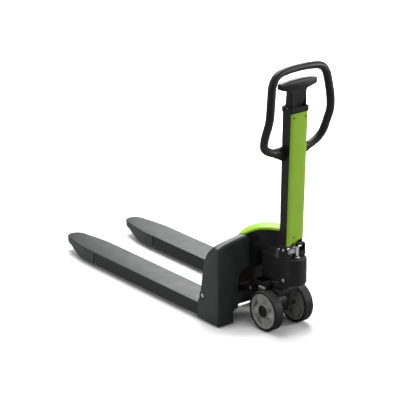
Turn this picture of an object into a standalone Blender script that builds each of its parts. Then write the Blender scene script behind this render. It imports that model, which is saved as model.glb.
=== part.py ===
"""Electric pallet truck with a hand-pumped lift: forks, backrest housing, steering pump unit and tiller.

Every length is in metres. The model is laid out from the rear face of the backrest housing (y = 0),
with the forks along +Y, and one root empty then moves it so that the whole truck is centred on Y.
"""

import math

import bmesh
import bpy
from mathutils import Matrix, Vector

# ---- driving dimensions -------------------------------------------------------------------------

OVERALL_WIDTH = 0.525       # over the two forks
FORK_WIDTH = 0.150
FORK_TOP = 0.085            # lowered fork height
FORK_UNDERSIDE = 0.020
PLATE = 0.004               # fork channel thickness
FORK_START = 0.160          # front face of the housing at fork level
FORK_TIP = 1.311            # 1150 mm forks
SLOT_Y = 1.009
SLOT_WIDTH = 0.007

AXIS_Y = -0.155             # steering axis, and the steering wheels' axle
WHEEL_R = 0.099
WHEEL_WIDTH = 0.053
WHEEL_X = 0.092
AXLE_Z = WHEEL_R
PUMP_REAR = 0.305           # the rearmost point of the truck, behind the housing's rear face
HEIGHT = 1.323              # top of the handle

ROCKER_Y, ROCKER_Z = 0.1205, 0.130
YOKE_PIN_Y, YOKE_PIN_Z = -0.040, 0.180
LEVER_R = 0.0374            # rocker shaft to the push rod's pin
LUG_R = 0.030               # roller arm pivot to the push rod's pin
REAR_SWING = 19.68          # each pin starts this many degrees short of upright, and ends as far past it
FRONT_SWING = 24.82
ARM_PIVOT_Y, ARM_PIVOT_Z = 0.910, 0.036
ROLLER_Y, ROLLER_R, ROLLER_WIDTH = 1.060, 0.038, 0.086
ROD_Z, ROD_R = 0.0645, 0.007

TILLER_Y, TILLER_Z = -0.238, 0.421      # tiller pivot
TILLER_TOP = 1.090
TILLER_HALF = 0.050
TILLER_FRONT = -0.1950      # its flat front, before it leans
TILLER_DEPTH = 0.060         # at its top
TILLER_FOOT_DEPTH = 0.050
TILLER_LEAN = math.radians(1.18)        # the stored tiller leans back this far
PLUNGER_Y = -0.262
PUMP_TOP = 0.378
CAM_Z, CAM_R = 0.4445, 0.0090   # the tiller's cam over the plunger
HINGE_Y, HINGE_Z = 0.0985, 0.3745       # battery lid
CUP_FLOOR, CUP_TOP = 1.0965, 1.117      # collar that the control lever stands in
NECK_LOW = 1.101            # foot of the control lever
LEVER_Z = 1.110                         # control lever pivot
LEVER_Y = -0.241
TUBE_R = 0.019                          # handle loop

RING_TEETH, PINION_TEETH, GEAR_MODULE = 48, 12, 0.002
MOTOR_Z = AXLE_Z + (RING_TEETH - PINION_TEETH) * GEAR_MODULE / 2

GAP = 0.0003                # left between pieces that touch
ROUND = 48                  # facets of the largest turned pieces

FORK_X = (OVERALL_WIDTH - FORK_WIDTH) / 2
HALF = OVERALL_WIDTH / 2
CENTRE_SHIFT = -(FORK_TIP - PUMP_REAR) / 2


# ---- scene, materials and bodies ----------------------------------------------------------------

def clear_scene():
    for old in list(bpy.data.objects):
        bpy.data.objects.remove(old, do_unlink=True)


def collection(name):
    made = bpy.data.collections.new(name)
    bpy.context.scene.collection.children.link(made)
    return made


def material(name, colour, roughness, metallic=0.0):
    made = bpy.data.materials.new(name)
    made.use_nodes = True
    shader = made.node_tree.nodes["Principled BSDF"]
    shader.inputs["Base Color"].default_value = (*colour, 1.0)
    shader.inputs["Roughness"].default_value = roughness
    shader.inputs["Metallic"].default_value = metallic
    made.diffuse_color = (*colour, 1.0)
    return made


clear_scene()
PARTS = collection("electric_pallet_truck")
CUTTERS = collection("cutters")

GREY_PAINT = material("grey_paint", (0.075, 0.080, 0.080), 0.45)
DARK_PAINT = material("dark_paint", (0.030, 0.026, 0.024), 0.55)
BLACK_CAST = material("black_cast", (0.018, 0.018, 0.018), 0.50)
BLACK_PLASTIC = material("black_plastic", (0.020, 0.020, 0.021), 0.42)
GREEN_PLASTIC = material("green_plastic", (0.290, 0.500, 0.045), 0.35)
STEEL = material("steel", (0.55, 0.55, 0.54), 0.35, 1.0)
CHROME = material("chrome", (0.75, 0.75, 0.75), 0.12, 1.0)
BRASS = material("bronze", (0.55, 0.38, 0.16), 0.40, 1.0)
HUB_GREY = material("hub_grey", (0.200, 0.205, 0.200), 0.45)
TYRE = material("tyre", (0.022, 0.022, 0.021), 0.70)
ROLLER = material("polyurethane", (0.090, 0.075, 0.050), 0.50)


def empty(name, at, parent=None):
    made = bpy.data.objects.new(name, None)
    made.empty_display_size = 0.05
    made.location = at
    PARTS.objects.link(made)
    if parent:
        made.parent = parent
        made.location = Vector(at) - Vector(WORLD_OF[parent.name])
    WORLD_OF[name] = tuple(at)
    return made


WORLD_OF = {}
TRUCK = empty("truck", (0, 0, 0))
BODY = {
    "chassis": empty("chassis_body", (0, 0, 0), TRUCK),
    "rocker": empty("rocker_body", (0, ROCKER_Y, ROCKER_Z), TRUCK),
    "carriage": empty("carriage_body", (0, AXIS_Y, 0.2), TRUCK),
    "turret": empty("turret_body", (0, AXIS_Y, 0.2), TRUCK),
    "motor": empty("motor_body", (0, AXIS_Y, MOTOR_Z), TRUCK),
    "tiller": empty("tiller_body", (0, TILLER_Y, TILLER_Z), TRUCK),
    "plunger": empty("plunger_body", (0, PLUNGER_Y, PUMP_TOP), TRUCK),
    "lever": empty("lever_body", (0, LEVER_Y, LEVER_Z), TRUCK),
    "lid": empty("lid_body", (0, HINGE_Y, HINGE_Z), TRUCK),
}
for side, sign in (("left", -1), ("right", 1)):
    BODY["wheel_" + side] = empty("wheel_body_" + side, (sign * WHEEL_X, AXIS_Y, AXLE_Z), TRUCK)
    BODY["rod_" + side] = empty("rod_body_" + side, (sign * FORK_X, 0.5, ROD_Z), TRUCK)
    BODY["arm_" + side] = empty("arm_body_" + side, (sign * FORK_X, ARM_PIVOT_Y, ARM_PIVOT_Z), TRUCK)
    BODY["roller_" + side] = empty("roller_body_" + side, (sign * FORK_X, ROLLER_Y, ROLLER_R), TRUCK)


def add(name, mesh, paint, body):
    """A mesh laid out in the model's coordinates, as an object on its body's empty."""
    obj = bpy.data.objects.new(name, mesh)
    obj.data.materials.append(paint)
    PARTS.objects.link(obj)
    obj.parent = BODY[body]
    origin = Vector(WORLD_OF[obj.parent.name])
    mesh.transform(Matrix.Translation(-origin))
    return obj


def helper(name, mesh):
    """A cutter, or a shape that another object is joined with."""
    obj = bpy.data.objects.new(name, mesh)
    CUTTERS.objects.link(obj)
    obj.parent = TRUCK
    obj.hide_render = True
    obj.display_type = "WIRE"
    return obj


def boolean(obj, other, operation="DIFFERENCE"):
    step = obj.modifiers.new(other.name, "BOOLEAN")
    step.operation = operation
    step.object = other
    step.solver = "EXACT"
    return obj


def cut(obj, *meshes):
    for index, mesh in enumerate(meshes):
        boolean(obj, helper(f"{obj.name}_cut_{len(obj.modifiers)}_{index}", mesh))
    return obj


def join(obj, *meshes):
    for index, mesh in enumerate(meshes):
        boolean(obj, helper(f"{obj.name}_join_{len(obj.modifiers)}_{index}", mesh), "UNION")
    return obj


# ---- shapes -------------------------------------------------------------------------------------

def mesh_from(bm):
    bmesh.ops.recalc_face_normals(bm, faces=bm.faces)
    if bm.calc_volume(signed=True) < 0:
        bmesh.ops.reverse_faces(bm, faces=bm.faces)
    mesh = bpy.data.meshes.new("shape")
    bm.to_mesh(mesh)
    bm.free()
    return mesh


def smooth(mesh, angle=math.radians(35)):
    mesh.shade_smooth()
    mesh.set_sharp_from_angle(angle=angle)
    return mesh


def box(low, high, bevel=0.0, segments=2):
    bm = bmesh.new()
    bmesh.ops.create_cube(bm, size=1)
    size = Vector(high) - Vector(low)
    middle = (Vector(high) + Vector(low)) / 2
    bmesh.ops.transform(bm, verts=bm.verts, matrix=Matrix.Translation(middle) @ Matrix.Diagonal((*size, 1)))
    if bevel:
        bmesh.ops.bevel(bm, geom=bm.edges[:], offset=bevel, segments=segments, affect="EDGES", profile=0.5)
    return mesh_from(bm)


def turned_to(axis):
    """The rotation that brings +Z to a named axis."""
    return {"z": Matrix.Identity(4), "x": Matrix.Rotation(math.pi / 2, 4, "Y"),
            "y": Matrix.Rotation(-math.pi / 2, 4, "X")}[axis]


def rod(centre, radius, length, axis="x", sides=24, bevel=0.0):
    bm = bmesh.new()
    bmesh.ops.create_cone(bm, cap_ends=True, segments=sides, radius1=radius, radius2=radius, depth=length)
    if bevel:
        rims = [e for e in bm.edges if abs(e.verts[0].co.z - e.verts[1].co.z) < 1e-6]
        bmesh.ops.bevel(bm, geom=rims, offset=bevel, segments=1, affect="EDGES")
    bmesh.ops.transform(bm, verts=bm.verts, matrix=Matrix.Translation(centre) @ turned_to(axis))
    return smooth(mesh_from(bm))


def ring(profile, centre, axis="x", sides=ROUND):
    """A closed turned shape: the profile's (radius, height) points go once round the section."""
    bm = bmesh.new()
    turn = Matrix.Translation(centre) @ turned_to(axis)
    rows = []
    for step in range(sides):
        angle = 2 * math.pi * step / sides
        rows.append([bm.verts.new(turn @ Vector((r * math.cos(angle), r * math.sin(angle), h)))
                     for r, h in profile])
    skin(bm, rows, closed=True)
    return smooth(mesh_from(bm))


def skin(bm, rows, closed=False):
    """Faces between neighbouring rows of points. Every row goes round; closed also joins last to first."""
    count = len(rows[0])
    pairs = list(zip(rows, rows[1:]))
    if closed:
        pairs.append((rows[-1], rows[0]))
    for first, second in pairs:
        for k in range(count):
            m = (k + 1) % count
            bm.faces.new((first[k], first[m], second[m], second[k]))
    if not closed:
        bm.faces.new(rows[0])
        bm.faces.new(rows[-1])


def loft(sections):
    """A solid through a list of sections, each a list of (x, y, z) with the same number of points."""
    bm = bmesh.new()
    skin(bm, [[bm.verts.new(point) for point in section] for section in sections])
    return mesh_from(bm)


def slab(outline, low, high, axis="z"):
    """A flat outline given a thickness. axis z: (x, y) points; x: (y, z) points; y: (x, z) points."""
    place = {"z": lambda a, b, c: (a, b, c), "x": lambda a, b, c: (c, a, b),
             "y": lambda a, b, c: (a, c, b)}[axis]
    return loft([[place(a, b, low) for a, b in outline], [place(a, b, high) for a, b in outline]])


def arc(centre, radius, start, end, steps):
    """Points on an arc, angles in degrees."""
    return [(centre[0] + radius * math.cos(math.radians(start + (end - start) * k / steps)),
             centre[1] + radius * math.sin(math.radians(start + (end - start) * k / steps)))
            for k in range(steps + 1)]


def bar(a, b, radius_a, radius_b, steps=8):
    """The outline of a bar with round ends between two points."""
    away = math.degrees(math.atan2(b[1] - a[1], b[0] - a[0]))
    return arc(b, radius_b, away - 90, away + 90, steps) + arc(a, radius_a, away + 90, away + 270, steps)


def mix(a, b, share):
    return a + (b - a) * share


def between(table, value):
    """Straight-line reading of a short (value, result) table."""
    for (v0, r0), (v1, r1) in zip(table, table[1:]):
        if value <= v1:
            return mix(r0, r1, (value - v0) / (v1 - v0))
    return table[-1][1]


def both_sides(build):
    for side, sign in (("left", -1), ("right", 1)):
        build(side, sign)


# ---- forks --------------------------------------------------------------------------------------

def fork_half_width(y):
    """Half of the fork's width: straight, then drawn in to a round nose."""
    taper_start, nose_centre, nose_half = 1.060, 1.238, 0.046
    if y <= taper_start:
        return FORK_WIDTH / 2
    if y <= nose_centre:
        share = (y - taper_start) / (nose_centre - taper_start)
        return mix(FORK_WIDTH / 2, nose_half + 0.008, share ** 1.6)
    reach = FORK_TIP - nose_centre
    return (nose_half + 0.008) * math.sqrt(max(0.0, 1 - ((y - nose_centre) / reach) ** 2.3))


def fork_plan(inset, start):
    """The fork's outline about its own centre line, drawn in by an inset."""
    taper = 1.060
    right = []
    for y in (start, taper, 1.110, 1.150, 1.190, 1.220, 1.245, 1.265, 1.282, 1.295, 1.304, 1.309):
        back = inset * max(0.0, (y - taper) / (FORK_TIP - taper))
        right.append((max(0.004, fork_half_width(y) - inset), y - back))
    return right + [(0.0, FORK_TIP - inset)] + [(-x, y) for x, y in reversed(right)]


def shifted(outline, dx):
    return [(x + dx, y) for x, y in outline]


def fork(side, sign):
    """Top plate down to the tip, with a side wall each side as far as the slot."""
    x = sign * FORK_X
    low = shifted(fork_plan(0.0, FORK_START + GAP), x)
    top = shifted(fork_plan(0.003, FORK_START + GAP), x)
    plate_low = FORK_TOP - PLATE
    plate = loft([[(a, b, plate_low) for a, b in low], [(a, b, FORK_TOP - 0.0026) for a, b in low],
                  [(a, b, FORK_TOP - 0.0008) for a, b in shifted(fork_plan(0.001, FORK_START + GAP), x)],
                  [(a, b, FORK_TOP) for a, b in top]])
    obj = add("fork_" + side, smooth(plate), GREY_PAINT, "chassis")
    wall_end = SLOT_Y - SLOT_WIDTH / 2
    for edge in (-1, 1):
        outer = x + edge * (FORK_WIDTH / 2 - 0.001)
        inner = outer - edge * PLATE
        join(obj, box((min(outer, inner), FORK_START + GAP, FORK_UNDERSIDE),
                      (max(outer, inner), wall_end, FORK_TOP - 0.002)))
    return obj


def nose(side, sign):
    """The hollow nose piece under the top plate: upright sides and a bottom that sweeps up to the tip."""
    x = sign * FORK_X
    start = SLOT_Y + SLOT_WIDTH / 2
    top = FORK_TOP - PLATE - GAP
    outline = shifted(fork_plan(0.001, start), x)
    obj = add("fork_nose_" + side, smooth(slab(outline, 0.012, top)), GREY_PAINT, "chassis")
    bow = [(start - 0.02, 0.0), (start - 0.02, 0.017), (1.130, 0.017), (1.165, 0.022), (1.205, 0.036),
           (1.245, 0.052), (1.285, 0.062), (FORK_TIP + 0.02, 0.066), (FORK_TIP + 0.02, 0.0)]
    cut(obj, slab(bow, x - 0.1, x + 0.1, "x"))
    wheel_bay = [(-0.066, start - 0.02), (0.066, start - 0.02), (0.066, 1.085), (0.057, 1.128),
                 (0.046, 1.180), (-0.046, 1.180), (-0.057, 1.128), (-0.066, 1.085)]
    cut(obj, slab(shifted(wheel_bay, x), -0.01, top + 0.01))
    return obj


# ---- backrest housing ---------------------------------------------------------------------------

SIDE_PROFILE = [(0.000, 0.006), (0.000, 0.376), (0.003, 0.388), (0.011, 0.396), (0.029, 0.399),
                (0.050, 0.390), (0.068, 0.373), (0.084, 0.355), (0.097, 0.333), (0.106, 0.306),
                (0.120, 0.247), (0.130, 0.184), (0.137, 0.146), (0.146, 0.115), (0.160, 0.088),
                (0.160, 0.010)]
TOP_RISE = [(0.0, 0.038), (0.06, 0.036), (0.13, 0.029), (0.19, 0.020), (0.226, 0.013), (0.2625, 0.0)]
PROFILE_TOP = 0.399


def housing_section(x, grow=0.0, bottom=None):
    """The housing's outline at one x, its top raised towards the middle, grown outwards by a margin."""
    rise = between(TOP_RISE, abs(x))
    raised = [(y, z + rise * max(0.0, (z - 0.15) / (PROFILE_TOP - 0.15))) for y, z in SIDE_PROFILE]
    if bottom is not None:
        foot = between([(-z, y) for y, z in raised[9:]], -bottom)
        kept = [(y, z) for y, z in raised if z > bottom]
        raised = [(0.0, bottom)] + kept + [(foot, bottom)]
    if not grow:
        return [(x, y, z) for y, z in raised]
    grown = []
    for k, (y, z) in enumerate(raised):
        before = Vector(raised[k - 1]) if k else Vector((y, z - 0.01))
        after = Vector(raised[k + 1]) if k + 1 < len(raised) else Vector((y, z - 0.01))
        here = Vector((y, z))
        first = (here - before).normalized()
        second = (after - here).normalized()
        normal = Vector((-first.y - second.y, first.x + second.x))
        normal.normalize()
        stretch = 1 / max(0.5, normal.dot(Vector((-first.y, first.x))))
        out = here + normal * grow * stretch
        grown.append((x, out.x, z if k in (0, len(raised) - 1) else out.y))
    return grown


def drawn_in(section, x, margin):
    """The section for the rounded end: every point pulled towards the outline's middle."""
    middle = Vector((0.07, 0.2))
    out = []
    for _, y, z in section:
        point = Vector((y, z))
        towards = (middle - point).normalized()
        moved = point + towards * margin
        out.append((x, moved.x, max(z if z < 0.03 else moved.y, 0.006)))
    return out


def housing_solid():
    xs = [0.0, 0.06, 0.13, 0.19, 0.226, 0.245]
    right = [housing_section(x) for x in xs]
    right.append(housing_section(HALF - 0.006))
    right.append(drawn_in(housing_section(HALF - 0.002), HALF - 0.002, 0.0015))
    right.append(drawn_in(housing_section(HALF), HALF, 0.005))
    left = [[(-x, y, z) for x, y, z in section] for section in reversed(right[1:])]
    return loft(left + right)


def housing_band(grow, half, low):
    """The housing's shape in a band about its middle, used by the lid that sits on it."""
    xs = [-half, -0.06, 0.0, 0.06, half]
    return loft([housing_section(x, grow, low) for x in xs])


def arch_outline(half, shoulder, corner, foot_half, foot_top):
    """The opening behind the wheels, wider at its foot."""
    right = [(foot_half, -0.02), (foot_half, foot_top), (half, foot_top + 0.010)]
    right += arc((half - corner, shoulder), corner, 0, 90, 8)
    return right + [(-x, z) for x, z in reversed(right)]


def backrest_housing():
    """A thin pressed shell, open below, with the arch in its rear face."""
    wall = 0.003
    obj = add("backrest_housing", smooth(housing_solid(), math.radians(30)), GREY_PAINT, "chassis")
    inside = [housing_section(x, -wall, -0.02) for x in (-HALF + wall, -0.19, -0.06, 0.06, 0.19, HALF - wall)]
    cut(obj, loft(inside))
    cut(obj, slab(arch_outline(0.138, 0.211, 0.062, 0.168, 0.066), -0.02, 0.03, "y"))
    bay = [(-0.044, 0.010), (0.044, 0.010), (0.044, 0.098), (-0.044, 0.098)]
    cut(obj, slab(bay, 0.36, 0.50))
    for edge in (-1, 1):
        x = edge * FORK_X
        cut(obj, box((x - 0.0685, 0.14, -0.02), (x + 0.0685, 0.20, FORK_TOP - PLATE)))
    for edge in (-1, 1):
        cut(obj, rod((edge * HALF, ROCKER_Y, ROCKER_Z), 0.0165, 0.05, sides=32))
        near, far = sorted((edge * 0.0720, edge * 0.0780))
        join(obj, box((near, 0.080, HINGE_Z - 0.0060), (far, HINGE_Y + 0.0050, HINGE_Z + 0.0060)))
    return cut(obj, rod((0, HINGE_Y, HINGE_Z), 0.0033, 0.2, sides=16))


def chassis_inside():
    """The plates, bearings, battery and controller that the housing covers."""
    tray = add("battery_tray", box((-0.200, 0.008, 0.196), (0.200, 0.104, 0.202)), DARK_PAINT, "chassis")
    join(tray, box((-0.200, 0.008, 0.199), (0.200, 0.014, 0.330)))
    add("battery_pack", box((-0.040, 0.018, 0.2025), (0.040, 0.090, 0.352), 0.004), BLACK_PLASTIC, "chassis")
    add("motor_controller", box((0.060, 0.018, 0.2025), (0.170, 0.064, 0.290), 0.003), STEEL, "chassis")
    add("contactor", box((-0.150, 0.018, 0.2025), (-0.090, 0.066, 0.262), 0.003), BLACK_PLASTIC, "chassis")

    def bearing(side, sign):
        outline = [(0.096, 0.104), (0.144, 0.104), (0.127, 0.158), (0.096, 0.158)]
        inner, outer = sorted((sign * 0.246, sign * (HALF - 0.003 - GAP)))
        made = add("shaft_bearing_" + side, slab(outline, inner, outer, "x"), DARK_PAINT, "chassis")
        cut(made, rod((sign * 0.25, ROCKER_Y, ROCKER_Z), 0.0130, 0.05, sides=32))

    def axle(side, sign):
        add("arm_axle_" + side, rod((sign * FORK_X, ARM_PIVOT_Y, ARM_PIVOT_Z), 0.009, 0.139, bevel=0.001),
            STEEL, "chassis")

    both_sides(bearing)
    both_sides(axle)


# ---- head and lid -------------------------------------------------------------------------------

LID_TOP = [(-0.196, 0.511), (-0.140, 0.502), (-0.081, 0.490), (-0.023, 0.477), (0.024, 0.466),
           (0.048, 0.456), (0.066, 0.441), (0.080, 0.421), (0.091, 0.400), (0.098, 0.384), (0.103, 0.372)]
LID_DROP = [(-0.196, 0.004), (-0.060, 0.004), (-0.030, 0.008), (0.000, 0.018), (0.020, 0.0265), (0.035, 0.0265),
            (0.050, 0.0270), (0.068, 0.0295), (0.084, 0.0270), (0.098, 0.0150), (0.103, 0.010)]
LID_HALF = [(AXIS_Y, 0.034), (-0.125, 0.0355), (-0.105, 0.0365), (-0.088, 0.044), (-0.060, 0.0520),
            (-0.043, 0.0600), (-0.020, 0.0690), (0.000, 0.0750), (0.020, 0.0860), (0.035, 0.0950),
            (0.050, 0.100), (0.085, 0.100), (0.103, 0.092)]
LID_RIM = 0.012


def lid_half(y):
    """Half of the lid's width: a tongue that clears the turning tiller, flared over the housing."""
    tail = LID_HALF[0][1]
    if y < AXIS_Y:
        return math.sqrt(max(0.0, tail ** 2 - (y - AXIS_Y) ** 2))
    return between(LID_HALF, y)


def rim_low(y):
    return between(LID_TOP, y) - between(LID_DROP, y) - LID_RIM


def lid_section(y, low, shrink=0.0):
    """One cross-section: upright rims, rounded edges, and a crowned top that falls towards the edges."""
    half = lid_half(y) - shrink
    top = between(LID_TOP, y) - shrink * 2.4
    edge = top - between(LID_DROP, y)
    corner = min(0.005, half * 0.4)
    right = [(half, low), (half, edge - corner), (half - 0.3 * corner, edge - 0.3 * corner),
             (half - corner, edge)]
    for share in (0.82, 0.64, 0.46, 0.25):
        right.append(((half - corner) * share, mix(top, edge, share ** 3)))
    points = right + [(0.0, top)] + [(-x, z) for x, z in reversed(right)]
    return [(x, y, z) for x, z in points]


def head_stations():
    tail = [AXIS_Y - LID_HALF[0][1] * math.sin(math.radians(a)) for a in (86, 72, 56, 38, 19)]
    return tail + [AXIS_Y, -0.125, -0.105, -0.088, -0.060, -0.043, -0.020]


def lid():
    """The green cover: a rising tongue over the head, flared out over the housing's rounded top."""
    behind = [lid_section(y, rim_low(y)) for y in head_stations() + [-0.0004]]
    rim = [lid_section(y, rim_low(y)) for y in (0.0004, 0.010, 0.020, 0.028)]
    over = [0.0305, 0.035, 0.050, 0.066, 0.076, 0.085, 0.093, 0.098, 0.103]
    skirt = [lid_section(y, 0.355) for y in over]
    obj = add("battery_lid", smooth(loft(behind + rim + skirt), math.radians(50)), GREEN_PLASTIC, "lid")
    cut(obj, box((-0.2, -0.02, 0.30), (0.2, 0.30, HINGE_Z + 0.0040)))
    cut(obj, housing_band(0.0008, 0.13, 0.0))
    cut(obj, loft([lid_section(y, 0.310, 0.006) for y in [0.0052, 0.010, 0.020] + over[1:-3]]))
    for edge in (-1, 1):
        near, far = sorted((edge * 0.0705, edge * 0.0795))
        cut(obj, box((near, 0.080, 0.30), (far, 0.2, HINGE_Z + 0.0090)))
    return obj


def head():
    """The steel plate that the ram lifts, and the black body that carries the lid."""
    half = 0.031
    plate = [(half, -0.0008), (half, AXIS_Y)] + arc((0, AXIS_Y), half, 0, -180, 12)[1:-1]
    plate += [(-half, AXIS_Y), (-half, -0.0008)]
    add("head_plate", slab(plate, 0.402, 0.412), DARK_PAINT, "chassis")
    sections = []
    for y in head_stations() + [-0.0008, 0.006]:
        half = max(0.002, lid_half(y) - 0.002)
        top = rim_low(y) - 0.0006
        sections.append([(half, y, 0.4125), (half, y, top), (-half, y, top), (-half, y, 0.4125)])
    body = add("hood_base", smooth(loft(sections)), BLACK_PLASTIC, "chassis")
    join(body, box((-0.073, -0.043, 0.285), (0.073, -0.0008, 0.4360)))
    cut(body, housing_band(0.0008, 0.13, 0.0), box((-0.0313, -0.05, 0.4017), (0.0313, 0.02, 0.4123)))
    cut(body, box((-0.028, -0.150, 0.405), (0.028, -0.030, 0.440)))
    add("lid_hinge_pin", rod((0, HINGE_Y, HINGE_Z), 0.003, 0.164, sides=12), STEEL, "chassis")


# ---- lift linkage -------------------------------------------------------------------------------

def rocker():
    add("rocker_shaft", rod((0, ROCKER_Y, ROCKER_Z), 0.0125, 2 * (HALF - 0.0012), sides=32, bevel=0.001),
        STEEL, "rocker")

    def arm(side, sign):
        inner, outer = sorted((sign * 0.0912, sign * 0.0972))
        outline = bar((ROCKER_Y, ROCKER_Z), (YOKE_PIN_Y - 0.0068, YOKE_PIN_Z + 0.001), 0.0165, 0.0135, 10)
        made = add("rocker_arm_" + side, slab(outline, inner, outer, "x"), DARK_PAINT, "rocker")
        shaft_hole = rod((sign * 0.094, ROCKER_Y, ROCKER_Z), 0.0128, 0.03, sides=32)
        slot = bar((YOKE_PIN_Y - 0.0090, YOKE_PIN_Z + 0.0027), (YOKE_PIN_Y + 0.0080, YOKE_PIN_Z - 0.0024),
                   0.0092, 0.0092, 8)
        cut(made, shaft_hole, slab(slot, inner - 0.01, outer + 0.01, "x"))

    def lever(side, sign):
        x = sign * FORK_X
        swing = math.radians(REAR_SWING)
        pin = (ROCKER_Y - LEVER_R * math.sin(swing), ROCKER_Z - LEVER_R * math.cos(swing))
        outline = bar((ROCKER_Y, ROCKER_Z), pin, 0.0165, 0.010, 10)
        made = add("rod_lever_" + side, slab(outline, x - 0.013, x - 0.005, "x"), DARK_PAINT, "rocker")
        join(made, rod((x + 0.003, *pin), 0.005, 0.030, sides=16))
        cut(made, rod((x - 0.009, ROCKER_Y, ROCKER_Z), 0.0128, 0.03, sides=32))

    both_sides(arm)
    both_sides(lever)


def push_rod(side, sign):
    """A round bar along the fork, with an upright tab and eye at each end."""
    x = sign * FORK_X + 0.011
    swing_rear, swing_front = math.radians(REAR_SWING), math.radians(FRONT_SWING)
    rear = (ROCKER_Y - LEVER_R * math.sin(swing_rear), ROCKER_Z - LEVER_R * (1 + math.cos(swing_rear)) / 2)
    front = (ARM_PIVOT_Y - LUG_R * math.sin(swing_front),
             ARM_PIVOT_Z + LUG_R * (1 + math.cos(swing_front)) / 2)
    start, end = rear[0] + 0.004, front[0] - 0.008
    obj = add("push_rod_" + side, rod((x, (start + end) / 2, ROD_Z), ROD_R, end - start, "y", 16), STEEL,
              "rod_" + side)
    tab = bar((rear[0], ROD_Z), rear, 0.0075, 0.0130, 8)
    join(obj, slab(tab, x - 0.004, x + 0.004, "x"))
    join(obj, slab(bar((front[0] - 0.02, ROD_Z), front, 0.008, 0.0115, 8), x - 0.004, x + 0.004, "x"))
    cut(obj, rod((x, *rear), 0.0078, 0.03, sides=20), rod((x, *front), 0.0072, 0.03, sides=20))


def roller_arm(side, sign):
    """Two side plates on a hub tube, with the lug that the push rod works."""
    x = sign * FORK_X
    swing = math.radians(FRONT_SWING)
    lug = (ARM_PIVOT_Y - LUG_R * math.sin(swing), ARM_PIVOT_Z + LUG_R * math.cos(swing))
    tube = rod((x, ARM_PIVOT_Y, ARM_PIVOT_Z), 0.0135, 0.104, sides=24)
    obj = add("roller_arm_" + side, tube, DARK_PAINT, "arm_" + side)
    for edge in (-1, 1):
        inner, outer = sorted((x + edge * 0.046, x + edge * 0.0525))
        outline = bar((ARM_PIVOT_Y, ARM_PIVOT_Z), (ROLLER_Y, ROLLER_R), 0.016, 0.017, 8)
        join(obj, slab(outline, inner, outer, "x"))
    join(obj, slab(bar((ARM_PIVOT_Y, ARM_PIVOT_Z), lug, 0.0125, 0.009, 8), x - 0.013, x - 0.005, "x"))
    join(obj, rod((x + 0.003, *lug), 0.005, 0.030, sides=16))
    cut(obj, rod((x, ARM_PIVOT_Y, ARM_PIVOT_Z), 0.0093, 0.2, sides=24))
    cut(obj, rod((x, ROLLER_Y, ROLLER_R), 0.0103, 0.2, sides=24))
    add("roller_pin_" + side, rod((x, ROLLER_Y, ROLLER_R), 0.0100, 0.112, sides=24, bevel=0.001), STEEL,
        "arm_" + side)
    half = ROLLER_WIDTH / 2
    profile = [(0.0103, -half), (ROLLER_R - 0.003, -half), (ROLLER_R, -half + 0.004), (ROLLER_R, half - 0.004),
               (ROLLER_R - 0.003, half), (0.0103, half)]
    add("load_roller_" + side, ring(profile, (x, ROLLER_Y, ROLLER_R), sides=36), ROLLER, "roller_" + side)


def carriage():
    """The yoke that ties the pump unit to the rocker: it rises and falls but doesn't steer."""
    low, high = 0.206, 0.232
    obj = add("lift_yoke", rod((0, AXIS_Y, (low + high) / 2), 0.056, high - low, "z", 40), BLACK_CAST, "carriage")
    join(obj, box((-0.0898, -0.150, low + 0.003), (0.0898, -0.112, high - 0.003)))
    for edge in (-1, 1):
        inner, outer = sorted((edge * 0.0838, edge * 0.0898))
        outline = [(-0.150, 0.209), (-0.150, 0.229), (-0.040, 0.229), (-0.026, 0.190), (-0.0285, 0.176)]
        outline += arc((YOKE_PIN_Y, YOKE_PIN_Z), 0.012, -20, -160, 6)
        outline += [(-0.058, 0.203), (-0.070, 0.209)]
        join(obj, slab(outline, inner, outer, "x"))
        join(obj, rod((edge * 0.0915, YOKE_PIN_Y, YOKE_PIN_Z), 0.007, 0.015, sides=20, bevel=0.001))
    cut(obj, rod((0, AXIS_Y, 0.22), 0.0290, 0.1, "z", 40))
    add("steering_bush", ring([(0.0247, low), (0.0287, low), (0.0287, high), (0.0247, high)],
                              (0, AXIS_Y, 0), "z", 40), BRASS, "carriage")
    add("thrust_washer", ring([(0.0260, 0.2323), (0.050, 0.2323), (0.050, 0.2392), (0.0260, 0.2392)],
                              (0, AXIS_Y, 0), "z", 40), STEEL, "carriage")


# ---- turning pump unit --------------------------------------------------------------------------

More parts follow.
